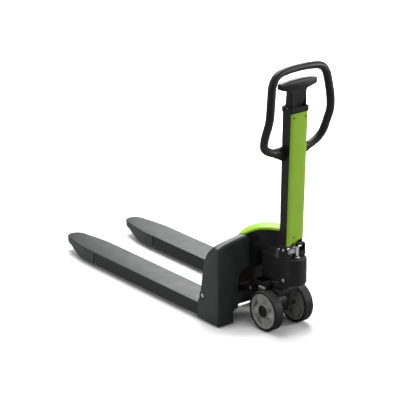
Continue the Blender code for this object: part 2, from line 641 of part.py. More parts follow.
def pump():
    """The cast pump block: square in front, round behind, bored for the ram and the plunger."""
    rear_r, front_half = 0.057, 0.055
    rear_centre = -PUMP_REAR + rear_r
    plan = [(front_half - 0.008, -0.065), (front_half, -0.073), (front_half, -0.200)]
    plan += [(rear_r, rear_centre + 0.010)] + arc((0, rear_centre), rear_r, 0, -180, 20)
    plan += [(-rear_r, rear_centre + 0.010), (-front_half, -0.200), (-front_half, -0.073),
             (-front_half + 0.008, -0.065)]

    def scaled(share):
        return [(x * share, AXIS_Y + (y - AXIS_Y) * share) for x, y in plan]

    rows = [[(x, y, 0.246) for x, y in scaled(0.965)], [(x, y, 0.253) for x, y in scaled(0.99)],
            [(x, y, 0.261) for x, y in plan], [(x, y, PUMP_TOP - 0.011) for x, y in plan],
            [(x, y, PUMP_TOP - 0.003) for x, y in scaled(0.985)], [(x, y, PUMP_TOP) for x, y in scaled(0.95)]]
    obj = add("pump_housing", smooth(loft(rows)), BLACK_CAST, "turret")
    join(obj, box((-0.050, -0.205, 0.2396), (0.050, -0.075, 0.300), 0.005))
    cut(obj, rod((0, AXIS_Y, 0.32), 0.0168, 0.3, "z", 32))
    cut(obj, rod((0, PLUNGER_Y, 0.39), 0.0098, 0.19, "z", 24))
    cut(obj, box((-0.062, -0.199, PUMP_TOP - 0.0115), (0.062, -0.060, 0.42)))
    boss = rod((-0.058, -0.243, 0.272), 0.011, 0.014, sides=20, bevel=0.002)
    join(obj, boss)

    bracket = add("wheel_bracket", rod((0, AXIS_Y, 0.165), 0.0240, 0.1488, "z", 40), BLACK_CAST, "turret")
    web = [(AXIS_Y - 0.040, 0.202), (AXIS_Y + 0.040, 0.202), (AXIS_Y + 0.026, 0.120)]
    web += arc((AXIS_Y, AXLE_Z), 0.026, 0, -180, 10) + [(AXIS_Y - 0.026, 0.120)]
    join(bracket, slab(web, 0.004, 0.022, "x"), box((-0.062, -0.205, 0.1765), (0.062, -0.105, 0.2035), 0.006))
    cut(bracket, rod((0, AXIS_Y, 0.25), 0.0168, 0.16, "z", 32))
    cut(bracket, rod((0, AXIS_Y, AXLE_Z), 0.0103, 0.2, sides=24))
    cut(bracket, rod((-0.03, AXIS_Y, MOTOR_Z), 0.0400, 0.067, sides=40))
    add("lift_ram", rod((0, AXIS_Y, 0.2915), 0.0162, 0.2204, "z", 32, 0.001), CHROME, "chassis")
    add("wheel_axle", rod((0, AXIS_Y, AXLE_Z), 0.0100, 0.226, sides=24, bevel=0.001), STEEL, "turret")


def tiller_bracket():
    """The ears on the pump block that hold the tiller's pivot pin."""
    obj = add("tiller_bracket", box((-0.060, -0.254, PUMP_TOP + GAP), (0.060, -0.1995, 0.399)), BLACK_CAST,
              "turret")
    for edge in (-1, 1):
        inner, outer = sorted((edge * 0.0515, edge * 0.060))
        ear = [(-0.254, 0.396), (-0.1995, 0.396), (-0.1995, 0.428), (-0.206, 0.436), (-0.248, 0.438),
               (-0.254, 0.432)]
        join(obj, slab(ear, inner, outer, "x"))
        join(obj, rod((edge * 0.061, -0.2085, 0.418), 0.0055, 0.006, sides=16, bevel=0.001))
    cut(obj, rod((0, TILLER_Y, TILLER_Z), 0.0073, 0.2, sides=24))
    cut(obj, rod((0, PLUNGER_Y, 0.40), 0.0115, 0.1, "z", 24))
    add("tiller_pin", rod((0, TILLER_Y, TILLER_Z), 0.0070, 0.132, sides=24, bevel=0.001), STEEL, "turret")


def plunger():
    top, bottom = CAM_Z - CAM_R - 0.0010, 0.338
    add("pump_plunger", rod((0, PLUNGER_Y, (top + bottom) / 2), 0.0090, top - bottom, "z", 24, 0.0012), CHROME,
        "plunger")


def toothed(teeth, module, outward, depth_share=1.0):
    """Points round a gear's teeth. outward teeth are a pinion's; inward ones are a ring gear's."""
    pitch_r = teeth * module / 2
    tip = pitch_r + (0.80 if outward else -0.80) * module * depth_share
    root = pitch_r + (-1.15 if outward else 1.15) * module * depth_share
    points = []
    for k in range(teeth):
        middle = 2 * math.pi * k / teeth
        step = 2 * math.pi / teeth
        for share, radius in ((-0.30, root), (-0.13, tip), (0.13, tip), (0.30, root)):
            angle = middle + share * step
            points.append((radius * math.cos(angle), radius * math.sin(angle)))
    return points


def drive():
    """The traction motor, its rotor with the pinion, and the ring gear inside the left wheel."""
    x_motor = (-0.0600, 0.0030)
    case = rod(((x_motor[0] + x_motor[1]) / 2, AXIS_Y, MOTOR_Z), 0.0390, x_motor[1] - x_motor[0], sides=40,
               bevel=0.003)
    obj = add("traction_motor", case, BLACK_CAST, "turret")
    cut(obj, rod((-0.040, AXIS_Y, MOTOR_Z), 0.0300, 0.065, sides=32))
    cut(obj, rod((-0.030, AXIS_Y, AXLE_Z), 0.0108, 0.2, sides=24))
    pinion = [(AXIS_Y + a, MOTOR_Z + b) for a, b in toothed(PINION_TEETH, GEAR_MODULE, True)]
    rotor = add("motor_rotor", slab(pinion, -0.0760, -0.0660, "x"), STEEL, "motor")
    join(rotor, rod((-0.050, AXIS_Y, MOTOR_Z), 0.0070, 0.046, sides=20))
    join(rotor, rod((-0.0290, AXIS_Y, MOTOR_Z), 0.0180, 0.030, sides=24))
    phase = math.pi / RING_TEETH
    outer = 0.0640
    blank = ring([(0.040, -0.0765), (outer, -0.0765), (outer, -0.0655), (0.040, -0.0655)],
                 (0, AXIS_Y, AXLE_Z), sides=ROUND)
    gear = add("wheel_ring_gear", blank, STEEL, "wheel_left")
    teeth = toothed(RING_TEETH, GEAR_MODULE, False)
    turned = [(a * math.cos(phase) - b * math.sin(phase), a * math.sin(phase) + b * math.cos(phase))
              for a, b in teeth]
    cut(gear, slab([(AXIS_Y + a, AXLE_Z + b) for a, b in turned], -0.09, -0.05, "x"))


def wheel(side, sign):
    """Tyre, five-pocket hub and centre cap. Heights in the profiles run outwards from the wheel's middle."""
    centre = (sign * WHEEL_X, AXIS_Y, AXLE_Z)
    half = WHEEL_WIDTH / 2
    tread = [(0.0853, -half + 0.002), (0.093, -half), (0.0965, -half + 0.0015), (WHEEL_R, -half + 0.007),
             (WHEEL_R, half - 0.007), (0.0965, half - 0.0015), (0.093, half), (0.0853, half - 0.002)]
    add("tyre_" + side, ring([(r, sign * h) for r, h in tread], centre), TYRE, "wheel_" + side)
    hub_profile = [(0.0104, -0.012), (0.0240, -0.012), (0.0260, 0.004), (0.0640, 0.002), (0.0770, -0.002),
                   (0.0790, -half + 0.003), (0.0850, -half + 0.003), (0.0850, half - 0.003),
                   (0.0800, half - 0.002), (0.0770, half - 0.009), (0.0330, half - 0.013),
                   (0.0310, half - 0.004), (0.0104, half - 0.004)]
    hub = add("hub_" + side, ring([(r, sign * h) for r, h in hub_profile], centre), HUB_GREY, "wheel_" + side)
    low, high = sorted((sign * (WHEEL_X + half - 0.016), sign * (WHEEL_X + half + 0.01)))
    for k in range(5):
        middle = 90 + 72 * k
        pocket = arc((0, 0), 0.0740, middle - 19, middle + 19, 6)
        pocket += arc((0, 0), 0.0400, middle + 13, middle - 13, 4)
        cut(hub, slab([(AXIS_Y + a, AXLE_Z + b) for a, b in pocket], low, high, "x"))
        rib = Matrix.Translation(centre) @ Matrix.Rotation(math.radians(middle + 36), 4, "X")
        shape = box((-0.020, 0.0245, -0.0025), (0.006, 0.0790, 0.0025))
        if sign < 0:
            shape = box((-0.006, 0.0585, -0.0025), (0.0152, 0.0790, 0.0025))
        shape.transform(rib)
        join(hub, shape)
    cap_profile = [(0.0, half - 0.0037), (0.0300, half - 0.0037), (0.0300, half - 0.001),
                   (0.0270, half + 0.001), (0.0, half + 0.0015)]
    cap = bpy.data.meshes.new("cap")
    bm = bmesh.new()
    turn = Matrix.Translation(centre) @ turned_to("x")
    for r, h in cap_profile:
        bm.verts.new(turn @ Vector((r, 0, sign * h)))
    bm.verts.ensure_lookup_table()
    edges = [bm.edges.new((bm.verts[k], bm.verts[k + 1])) for k in range(len(cap_profile) - 1)]
    bmesh.ops.spin(bm, geom=bm.verts[:] + edges, cent=centre, axis=(1, 0, 0), angle=2 * math.pi, steps=36,
                   use_merge=True, use_duplicate=False)
    bmesh.ops.remove_doubles(bm, verts=bm.verts, dist=1e-6)
    bmesh.ops.recalc_face_normals(bm, faces=bm.faces)
    bm.to_mesh(cap)
    bm.free()
    add("wheel_cap_" + side, smooth(cap), BLACK_PLASTIC, "wheel_" + side)


# ---- tiller -------------------------------------------------------------------------------------

def leaned(mesh):
    """Turns a mesh that was laid out upright about the tiller's pivot, to the stored lean."""
    pivot = Vector((0, TILLER_Y, TILLER_Z))
    turn = Matrix.Translation(pivot) @ Matrix.Rotation(TILLER_LEAN, 4, "X") @ Matrix.Translation(-pivot)
    mesh.transform(turn)
    return mesh


def tiller_shape(half, front, rear_low, rear_high, low, high):
    """A tapered column: its front is flat and its rear face steps back as it rises."""
    rows = []
    for z, rear in ((low, rear_low), (high, rear_high)):
        rows.append([(half, front, z), (half, rear, z), (-half, rear, z), (-half, front, z)])
    return loft(rows)


def tiller():
    """A steel channel open to the rear, closed by the green cover."""
    front = TILLER_FRONT
    rear_low, rear_high = front - TILLER_FOOT_DEPTH, front - TILLER_DEPTH
    wall, low, cover_low = 0.003, 0.4345, 0.4380
    obj = add("tiller_channel", leaned(tiller_shape(TILLER_HALF, front, rear_low + 0.003, rear_high + 0.003,
                                                    low, TILLER_TOP)), BLACK_CAST, "tiller")
    cut(obj, leaned(box((-TILLER_HALF + wall, rear_high - 0.02, 0.38),
                        (TILLER_HALF - wall, front - wall, TILLER_TOP + 0.02))))
    join(obj, leaned(box((-0.048, rear_low + 0.006, 0.4590), (0.048, front - 0.001, 0.4650))))
    for edge in (-1, 1):
        inner, outer = sorted((edge * (TILLER_HALF - wall), edge * TILLER_HALF))
        foot = bar((TILLER_Y, TILLER_Z), (TILLER_Y + 0.020, TILLER_Z + 0.026), 0.0115, 0.0140, 8)
        join(obj, slab(foot, inner, outer, "x"))
    cut(obj, rod((0, TILLER_Y, TILLER_Z), 0.0073, 0.2, sides=24))

    plan = [(TILLER_HALF, 0.0025), (TILLER_HALF, 0.0), (0.046, -0.0022), (0.030, -0.0036), (0.0, -0.0042),
            (-0.030, -0.0036), (-0.046, -0.0022), (-TILLER_HALF, 0.0), (-TILLER_HALF, 0.0025)]
    rows = []
    for z in (cover_low, TILLER_TOP - 0.001):
        rear = mix(rear_low, rear_high, (z - low) / (TILLER_TOP - low))
        rows.append([(x, rear + y, z) for x, y in plan])
    cover = add("tiller_cover", leaned(loft(rows)), GREEN_PLASTIC, "tiller")
    cut(cover, leaned(rod((-0.016, rear_low, cover_low - 0.002), 0.013, 0.03, "y", 24)))
    step = [(0.006, cover_low - 0.01), (0.06, cover_low - 0.01), (0.06, cover_low + 0.025),
            (0.012, cover_low + 0.018), (0.006, cover_low + 0.004)]
    cut(cover, leaned(slab(step, rear_low - 0.02, rear_low + 0.02, "y")))

    cam = add("plunger_cam", rod((0.014, PLUNGER_Y, CAM_Z), CAM_R, 0.034, sides=28, bevel=0.001), BLACK_CAST,
              "tiller")
    join(cam, box((0.0125, PLUNGER_Y + 0.002, CAM_Z - 0.004), (0.0305, -0.2150, CAM_Z + 0.006)),
         box((0.0135, -0.2370, CAM_Z), (0.0295, -0.2160, 0.4585)))

    cap = [(0.0530, front + 0.003), (0.0530, rear_high - 0.003), (0.0505, rear_high - 0.0055),
           (-0.0505, rear_high - 0.0055), (-0.0530, rear_high - 0.003), (-0.0530, front + 0.003)]
    low = [(x, y, TILLER_TOP + GAP) for x, y in cap]
    high = [(x, y, CUP_TOP - 0.0015) for x, y in cap]
    rim = [(x * 0.985, mix(y, (front + rear_high) / 2, 0.03), CUP_TOP) for x, y in cap]
    collar = add("tiller_collar", leaned(loft([low, high, rim])), BLACK_PLASTIC, "tiller")
    cut(collar, leaned(box((-0.0497, rear_high - 0.0025, CUP_FLOOR), (0.0497, front, 1.13))))
    cut(collar, rod((0, LEVER_Y, LEVER_Z), 0.0043, 0.2, sides=20))
    add("release_rod", leaned(rod((-0.030, -0.222, 0.780), 0.0025, 0.610, "z", 12)), STEEL, "tiller")


def loop_path():
    """Centre line of the handle loop, right half, from its foot to the top: (x, y, z)."""
    return [(0.104, -0.2140, 0.898), (0.128, -0.2145, 0.908), (0.150, -0.2165, 0.920),
            (0.167, -0.2205, 0.936), (0.177, -0.2280, 0.956), (0.1815, -0.2390, 0.985),
            (0.183, -0.2520, 1.020), (0.1835, -0.2680, 1.060), (0.182, -0.2760, 1.100),
            (0.178, -0.2760, 1.150), (0.172, -0.2730, 1.195), (0.1665, -0.2700, 1.230),
            (0.158, -0.2690, 1.256), (0.142, -0.2685, 1.279), (0.118, -0.2680, 1.293),
            (0.080, -0.2680, 1.3000), (0.038, -0.2680, 1.3032), (0.0, -0.2680, HEIGHT - TUBE_R)]


def handle():
    half = loop_path()
    points = half + [(-x, y, z) for x, y, z in reversed(half[:-1])]
    path = bpy.data.curves.new("handle_loop", "CURVE")
    path.dimensions = "3D"
    path.bevel_depth = TUBE_R
    path.bevel_resolution = 4
    path.use_fill_caps = True
    line = path.splines.new("POLY")
    line.points.add(len(points) - 1)
    origin = Vector(WORLD_OF["tiller_body"])
    for point, place in zip(line.points, points):
        point.co = (*(Vector(place) - origin), 1)
    obj = bpy.data.objects.new("handle_loop", path)
    path.materials.append(BLACK_PLASTIC)
    PARTS.objects.link(obj)
    obj.parent = BODY["tiller"]

    def shoulder(x, low, high, front, rear):
        turn = arc((0, 0), 1.0, 0, 330, 11)
        return [(x, mix(front, rear, (1 - a) / 2), mix(low, high, (b + 1) / 2)) for a, b in turn]

    right = [shoulder(0.0, 0.850, 0.925, -0.193, -0.236), shoulder(0.052, 0.850, 0.924, -0.193, -0.236),
             shoulder(0.075, 0.8620, 0.9225, -0.194, -0.235), shoulder(0.1005, 0.8745, 0.9195, -0.195, -0.233)]
    left = [[(-x, y, z) for x, y, z in section] for section in reversed(right[1:])]
    bracket = add("loop_bracket", smooth(loft(left + right)), BLACK_PLASTIC, "tiller")
    clear = 0.0503
    cut(bracket, leaned(box((-clear, -0.30, 0.80), (clear, TILLER_FRONT + GAP, 1.0))))
    seat = (Vector(points[1]) - Vector(points[0])).normalized()
    for edge in (-1, 1):
        face = Vector((edge * points[0][0], points[0][1], points[0][2]))
        along = Vector((edge * seat.x, seat.y, seat.z))
        block = box((-0.1, -0.1, -0.0003), (0.1, 0.1, 0.1))
        block.transform(Matrix.Translation(face) @ along.to_track_quat("Z", "Y").to_matrix().to_4x4())
        cut(bracket, block)


def control_lever():
    """The T-shaped lever: a neck pivoted at its foot and a swept cross bar."""
    right = [(0.0440, NECK_LOW), (0.0465, 1.1035), (0.0465, 1.1085), (0.0468, 1.165), (0.0490, 1.1880),
             (0.0560, 1.1955), (0.1010, 1.2080), (0.1085, 1.2125), (0.1100, 1.2200), (0.1095, 1.2330),
             (0.1060, 1.2390), (0.0500, 1.2450)]
    outline = right + [(0.0, 1.2475)] + [(-x, z) for x, z in reversed(right)]

    def depth(z):
        return between([(NECK_LOW, 0.010), (1.1035, 0.018), (1.1085, 0.0245), (1.165, 0.0210), (1.205, 0.0155),
                        (1.26, 0.0115)], z)

    def sweep(x, z):
        return LEVER_Y - (z - LEVER_Z) * 0.055 - 0.10 * max(0.0, abs(x) - 0.04) ** 1.2

    rows = []
    for share, inset in ((-1.0, 0.004), (-0.8, 0.0), (0.8, 0.0), (1.0, 0.004)):
        row = []
        for x, z in outline:
            shrink = 1 - inset / 0.06 if abs(x) > 1e-6 else 1.0
            row.append((x * shrink, sweep(x, z) + share * depth(z), z - inset * (1 if z > 1.23 else -0.3)))
        rows.append(row)
    obj = add("control_lever", smooth(loft(rows)), BLACK_PLASTIC, "lever")
    cut(obj, rod((0, LEVER_Y, LEVER_Z), 0.0043, 0.2, sides=20))
    add("lever_pin", rod((0, LEVER_Y, LEVER_Z), 0.0040, 0.104, sides=20, bevel=0.0008), STEEL, "tiller")


def build():
    both_sides(fork)
    both_sides(nose)
    backrest_housing()
    chassis_inside()
    head()
    lid()
    rocker()
    both_sides(push_rod)
    both_sides(roller_arm)
    carriage()
    pump()
    tiller_bracket()
    plunger()
    drive()
    both_sides(wheel)
    tiller()
    handle()
    control_lever()
    TRUCK.location = (0, CENTRE_SHIFT, 0)


build()
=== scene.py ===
"""Looks of the electric pallet truck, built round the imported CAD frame."""

import math

import bmesh
import bpy
from mathutils import Matrix, Vector


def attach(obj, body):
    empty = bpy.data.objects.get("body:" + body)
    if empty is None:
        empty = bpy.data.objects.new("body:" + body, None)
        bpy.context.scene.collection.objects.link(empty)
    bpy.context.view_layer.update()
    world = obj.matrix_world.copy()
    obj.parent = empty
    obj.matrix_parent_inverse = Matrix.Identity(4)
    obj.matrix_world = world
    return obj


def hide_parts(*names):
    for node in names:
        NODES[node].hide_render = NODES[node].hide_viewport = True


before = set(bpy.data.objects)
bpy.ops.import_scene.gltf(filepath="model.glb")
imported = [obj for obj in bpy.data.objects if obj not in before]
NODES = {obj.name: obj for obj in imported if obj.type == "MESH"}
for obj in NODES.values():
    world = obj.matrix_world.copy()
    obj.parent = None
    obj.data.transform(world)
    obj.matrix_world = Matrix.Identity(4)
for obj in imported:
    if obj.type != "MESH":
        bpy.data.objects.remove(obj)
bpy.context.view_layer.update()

# Metres. Y is measured forwards from the housing's rear face, and SHIFT moves it to the frame's origin.
SHIFT = -0.503
FORK_X, HALF = 0.1875, 0.2625                                # a fork's middle, half the width over both
FORK_START, FORK_TIP, FORK_TOP, PLATE = 0.160, 1.311, 0.085, 0.004
FORK_HALF, TAPER_START = 0.075, 1.060                        # the full width runs up to TAPER_START
NOSE_HALF, NOSE_START = 0.054, 1.238                         # where the taper ends and the round tip starts
SLOT_Y, SLOT_WIDTH = 1.009, 0.007
ARM_Y, ARM_Z = 0.910, 0.036                                  # the roller arm's axle
WALL = 0.003                                                 # the housing's sheet
SHAFT_Y, SHAFT_Z, SHAFT_HOLE_R = 0.1205, 0.130, 0.0170       # the rocker shaft and its side holes
YOKE_PIN_Y, YOKE_PIN_Z = -0.040, 0.180
AXIS_Y, AXLE_Z = -0.155, 0.099                               # the steering axis and the wheels' axle
WHEEL_X, WHEEL_R, WHEEL_WIDTH = 0.092, 0.099, 0.053
TILLER_Y, TILLER_Z, TILLER_LEAN = -0.238, 0.421, math.radians(1.18)


# ---- materials ----------------------------------------------------------------------------------

DUST = (0.42, 0.41, 0.39)


def link(tree, out, into):
    tree.links.new(out, into)


def node(tree, kind, **values):
    made = tree.nodes.new(kind)
    for key, value in values.items():
        if hasattr(made, key):
            setattr(made, key, value)
        else:
            made.inputs[key.replace("_", " ")].default_value = value
    return made


def noise(tree, coords, scale, detail=4.0, rough=0.55):
    made = node(tree, "ShaderNodeTexNoise")
    made.inputs["Scale"].default_value = scale
    made.inputs["Detail"].default_value = detail
    made.inputs["Roughness"].default_value = rough
    link(tree, coords, made.inputs["Vector"])
    return made.outputs["Fac"]


def spread(tree, value, low, high, to_low, to_high):
    made = node(tree, "ShaderNodeMapRange")
    made.inputs["From Min"].default_value = low
    made.inputs["From Max"].default_value = high
    made.inputs["To Min"].default_value = to_low
    made.inputs["To Max"].default_value = to_high
    link(tree, value, made.inputs["Value"])
    return made.outputs["Result"]


def blend_colour(tree, factor, first, second):
    made = node(tree, "ShaderNodeMix", data_type="RGBA")
    link(tree, factor, made.inputs["Factor"])
    for socket, value in ((made.inputs[6], first), (made.inputs[7], second)):
        if isinstance(value, tuple):
            socket.default_value = (*value, 1.0)
        else:
            link(tree, value, socket)
    return made.outputs[2]


def surface(name, colour, rough, metallic=0.0, tint=0.12, grain=900.0, bump=0.06, edge=0.0009, dust=0.0,
            wear=0.0, coat=0.0, stretch=(1, 1, 1), shine=0.5):
    """A finish with cloudy colour, fine grain, rounded edges, dust on what faces up, and worn patches."""
    made = bpy.data.materials.new(name)
    made.use_nodes = True
    tree = made.node_tree
    shader = tree.nodes["Principled BSDF"]
    coords = node(tree, "ShaderNodeTexCoord").outputs["Object"]
    scaled = node(tree, "ShaderNodeMapping")
    scaled.inputs["Scale"].default_value = stretch
    link(tree, coords, scaled.inputs["Vector"])
    where = scaled.outputs["Vector"]
    clouds = noise(tree, where, 14.0, 5.0)
    fine = noise(tree, where, grain, 3.0)
    light = tuple(min(1.0, c * (1 + tint)) for c in colour)
    dark = tuple(c * (1 - tint) for c in colour)
    base = blend_colour(tree, spread(tree, clouds, 0.35, 0.65, 0.0, 1.0), dark, light)
    roughness = spread(tree, clouds, 0.3, 0.7, rough - 0.06, rough + 0.06)
    if dust:
        facing = node(tree, "ShaderNodeSeparateXYZ")
        link(tree, node(tree, "ShaderNodeNewGeometry").outputs["Normal"], facing.inputs[0])
        up = spread(tree, facing.outputs["Z"], 0.2, 1.0, 0.0, 1.0)
        settle = node(tree, "ShaderNodeMath", operation="MULTIPLY")
        link(tree, up, settle.inputs[0])
        link(tree, spread(tree, noise(tree, where, 38.0, 6.0, 0.7), 0.35, 0.75, dust * 0.35, dust),
             settle.inputs[1])
        base = blend_colour(tree, settle.outputs[0], base, DUST)
    if wear:
        patch = spread(tree, noise(tree, where, 120.0, 8.0, 0.75), 0.68, 0.74, 0.0, wear)
        base = blend_colour(tree, patch, base, tuple(min(1.0, c * 1.9 + 0.02) for c in colour))
    link(tree, base, shader.inputs["Base Color"])
    link(tree, roughness, shader.inputs["Roughness"])
    shader.inputs["Metallic"].default_value = metallic
    shader.inputs["Coat Weight"].default_value = coat
    shader.inputs["Specular IOR Level"].default_value = shine
    shader.inputs["Coat Roughness"].default_value = 0.18
    rounded = node(tree, "ShaderNodeBevel", samples=6)
    rounded.inputs["Radius"].default_value = edge
    relief = node(tree, "ShaderNodeBump")
    relief.inputs["Strength"].default_value = bump
    relief.inputs["Distance"].default_value = 0.0006
    link(tree, fine, relief.inputs["Height"])
    link(tree, rounded.outputs["Normal"], relief.inputs["Normal"])
    link(tree, relief.outputs["Normal"], shader.inputs["Normal"])
    return made


GREY = surface("grey_paint", (0.037, 0.040, 0.041), 0.40, bump=0.10, dust=0.045, wear=0.25, coat=0.12,
               shine=0.35)
FORK_GREY = surface("fork_paint", (0.019, 0.0205, 0.021), 0.44, bump=0.12, dust=0.020, wear=0.35, shine=0.35)
DARK = surface("dark_paint", (0.014, 0.011, 0.010), 0.55, dust=0.04, wear=0.3, shine=0.25)
CAST = surface("cast_black", (0.0075, 0.0075, 0.0078), 0.46, bump=0.45, grain=420.0, dust=0.02, wear=0.2,
               edge=0.0016, shine=0.35)
CHANNEL = surface("tiller_paint", (0.009, 0.009, 0.009), 0.40, bump=0.08, wear=0.15, shine=0.3)
PLASTIC = surface("black_plastic", (0.0078, 0.0078, 0.0081), 0.42, bump=0.22, grain=1500.0, shine=0.28)
GRIP = surface("grip_rubber", (0.009, 0.009, 0.0095), 0.42, bump=0.30, grain=1100.0, shine=0.4)
GREEN = surface("green_plastic", (0.300, 0.530, 0.030), 0.34, tint=0.035, bump=0.05, coat=0.20, edge=0.0012,
                shine=0.35)
STEEL = surface("zinc_steel", (0.56, 0.56, 0.55), 0.34, metallic=1.0, tint=0.10, bump=0.12, stretch=(1, 6, 6))
GREASY = surface("greasy_steel", (0.16, 0.15, 0.14), 0.46, metallic=1.0, tint=0.25, bump=0.20)
CHROME = surface("chrome", (0.78, 0.78, 0.78), 0.14, metallic=1.0, tint=0.04, bump=0.03)
BRONZE = surface("bronze", (0.55, 0.38, 0.16), 0.38, metallic=1.0, bump=0.1)
HUB = surface("hub_grey", (0.360, 0.365, 0.350), 0.44, tint=0.08, bump=0.12, edge=0.0004, shine=0.4)
TYRE = surface("tyre_rubber", (0.012, 0.012, 0.0115), 0.60, tint=0.2, bump=0.30, grain=600.0, dust=0.07,
               wear=0.4, shine=0.3)
ROLLER = surface("roller_polyurethane", (0.060, 0.050, 0.032), 0.48, bump=0.15)
BOLT = surface("black_bolt", (0.030, 0.030, 0.031), 0.34, metallic=0.6, bump=0.1)


# ---- helpers ------------------------------------------------------------------------------------

def closed_mesh(bm):
    bmesh.ops.remove_doubles(bm, verts=bm.verts, dist=1e-7)
    bmesh.ops.recalc_face_normals(bm, faces=bm.faces)
    mesh = bpy.data.meshes.new("shape")
    bm.to_mesh(mesh)
    bm.free()
    return mesh


def piece(name, mesh, material, body, *stands_for, slot=None, angle=35, lean=False):
    """A visible piece from a mesh laid out from the housing's rear face, riding on a body."""
    if lean:
        pivot = Vector((0, TILLER_Y, TILLER_Z))
        mesh.transform(Matrix.Translation(pivot) @ Matrix.Rotation(TILLER_LEAN, 4, "X")
                       @ Matrix.Translation(-pivot))
    mesh.transform(Matrix.Translation((0, SHIFT, 0)))
    mesh.materials.clear()
    mesh.materials.append(material)
    mesh.shade_smooth()
    mesh.set_sharp_from_angle(angle=math.radians(angle))
    obj = bpy.data.objects.new(name, mesh)
    bpy.context.scene.collection.objects.link(obj)
    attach(obj, body)
    if stands_for:
        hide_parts(*stands_for)
    return obj


def skin(bm, rows, caps=True, around=True):
    """Faces between neighbouring rows, closed round each row and at both ends as asked."""
    count = len(rows[0])
    for first, second in zip(rows, rows[1:]):
        for k in range(count if around else count - 1):
            m = (k + 1) % count
            bm.faces.new((first[k], first[m], second[m], second[k]))
    if caps:
        bm.faces.new(rows[0])
        bm.faces.new(rows[-1])


def loft(sections):
    """A capped solid through outlines that have the same number of points."""
    bm = bmesh.new()
    skin(bm, [[bm.verts.new(p) for p in section] for section in sections])
    return closed_mesh(bm)


def box(low, high, bevel=0.0):
    bm = bmesh.new()
    bmesh.ops.create_cube(bm, size=1)
    size = Vector(high) - Vector(low)
    middle = (Vector(high) + Vector(low)) / 2
    bmesh.ops.transform(bm, verts=bm.verts, matrix=Matrix.Translation(middle) @ Matrix.Diagonal((*size, 1)))
    if bevel:
        bmesh.ops.bevel(bm, geom=bm.edges[:], offset=bevel, segments=3, affect="EDGES", profile=0.5)
    return closed_mesh(bm)


def slab(outline, near, far):
    """An outline in X and Z, drawn out along Y."""
    return loft([[(x, y, z) for x, z in outline] for y in (near, far)])


def turned(profile, centre, axis, sides=64):
    """Profile of (radius, height) points from the axis out and back, turned about a line through centre."""
    if axis == "x":
        spin = Matrix.Rotation(math.pi / 2, 4, "Y")
    elif axis == "z":
        spin = Matrix.Identity(4)
    else:
        spin = Vector(axis).to_track_quat("Z", "Y").to_matrix().to_4x4()
    place = Matrix.Translation(centre) @ spin
    bm = bmesh.new()
    rows = []
    for radius, height in profile:
        r = max(radius, 1e-6)
        turns = [2 * math.pi * k / sides for k in range(sides)]
        rows.append([bm.verts.new(place @ Vector((r * math.cos(t), r * math.sin(t), height))) for t in turns])
    skin(bm, rows, caps=False)
    if profile[0] != profile[-1]:
        bm.faces.new(rows[0])
        bm.faces.new(rows[-1])
    return closed_mesh(bm)


def arc(centre, radius, start, end, steps):
    return [(centre[0] + radius * math.cos(math.radians(start + (end - start) * k / steps)),
             centre[1] + radius * math.sin(math.radians(start + (end - start) * k / steps)))
            for k in range(steps + 1)]


def through(points, per):
    """A smooth line through points of any dimension, with per steps between neighbours."""
    vectors = [Vector(p) for p in points]
    line = []
    for k in range(len(vectors) - 1):
        a = vectors[max(k - 1, 0)]
        b, c = vectors[k], vectors[k + 1]
        d = vectors[min(k + 2, len(vectors) - 1)]
        for step in range(per):
            t = step / per
            line.append(0.5 * (2 * b + (c - a) * t + (2 * a - 5 * b + 4 * c - d) * t * t
                               + (3 * b - a - 3 * c + d) * t ** 3))
    return line + [vectors[-1]]


def reading(table, value):
    """A table of (value, result) pairs, read along straight lines between them."""
    for (v0, r0), (v1, r1) in zip(table, table[1:]):
        if value <= v1:
            return r0 + (r1 - r0) * (value - v0) / (v1 - v0)
    return table[-1][1]


def mix(a, b, share):
    return a + (b - a) * share


def merged(*meshes):
    bm = bmesh.new()
    for mesh in meshes:
        bm.from_mesh(mesh)
    out = bpy.data.meshes.new("shape")
    bm.to_mesh(out)
    bm.free()
    return out


def cut(obj, *meshes):
    for index, mesh in enumerate(meshes):
        mesh.transform(Matrix.Translation((0, SHIFT, 0)))
        cutter = bpy.data.objects.new(f"{obj.name}_cutter_{index}", mesh)
        bpy.context.scene.collection.objects.link(cutter)
        cutter.hide_render = True
        step = obj.modifiers.new(f"cut_{index}", "BOOLEAN")
        step.object = cutter
        step.solver = "EXACT"
    applied(obj)


def applied(obj):
    """Its modifiers become its mesh, and their cutters go."""
    graph = bpy.context.evaluated_depsgraph_get()
    mesh = bpy.data.meshes.new_from_object(obj.evaluated_get(graph))
    for step in list(obj.modifiers):
        cutter = getattr(step, "object", None)
        obj.modifiers.remove(step)
        if cutter:
            bpy.data.objects.remove(cutter)
    obj.data = mesh


def dome_screw(name, at, out, body, radius=0.0045, material=None, lean=False):
    """A small domed head with a round recess."""
    outline = [(0.0, 0.0004), (radius * 0.42, 0.0004), (radius * 0.42, radius * 0.52),
               (radius * 0.75, radius * 0.42), (radius * 0.95, radius * 0.2), (radius, 0.0), (radius, -0.0010),
               (0.0, -0.0010)]
    return piece(name, turned(outline, at, out, 24), material or BOLT, body, lean=lean)


def hex_bolt(name, at, out, body, material=None):
    """A washer and a chamfered hexagon head, 12 mm across and 5 mm tall."""
    r, tall = 0.012 / math.sqrt(3), 0.005
    rim = [(0.0, 0.0), (r * 1.28, 0.0), (r * 1.28, 0.0012), (r * 1.22, 0.0015), (0.0, 0.0015)]
    washer = turned(rim, at, out, 32)
    head = turned([(0.0, 0.0014), (r, 0.0014), (r, tall * 0.82), (r * 0.86, tall), (0.0, tall)], at, out, 6)
    return piece(name, merged(washer, head), material or BOLT, body, angle=20)


# ---- carried CAD pieces -------------------------------------------------------------------------

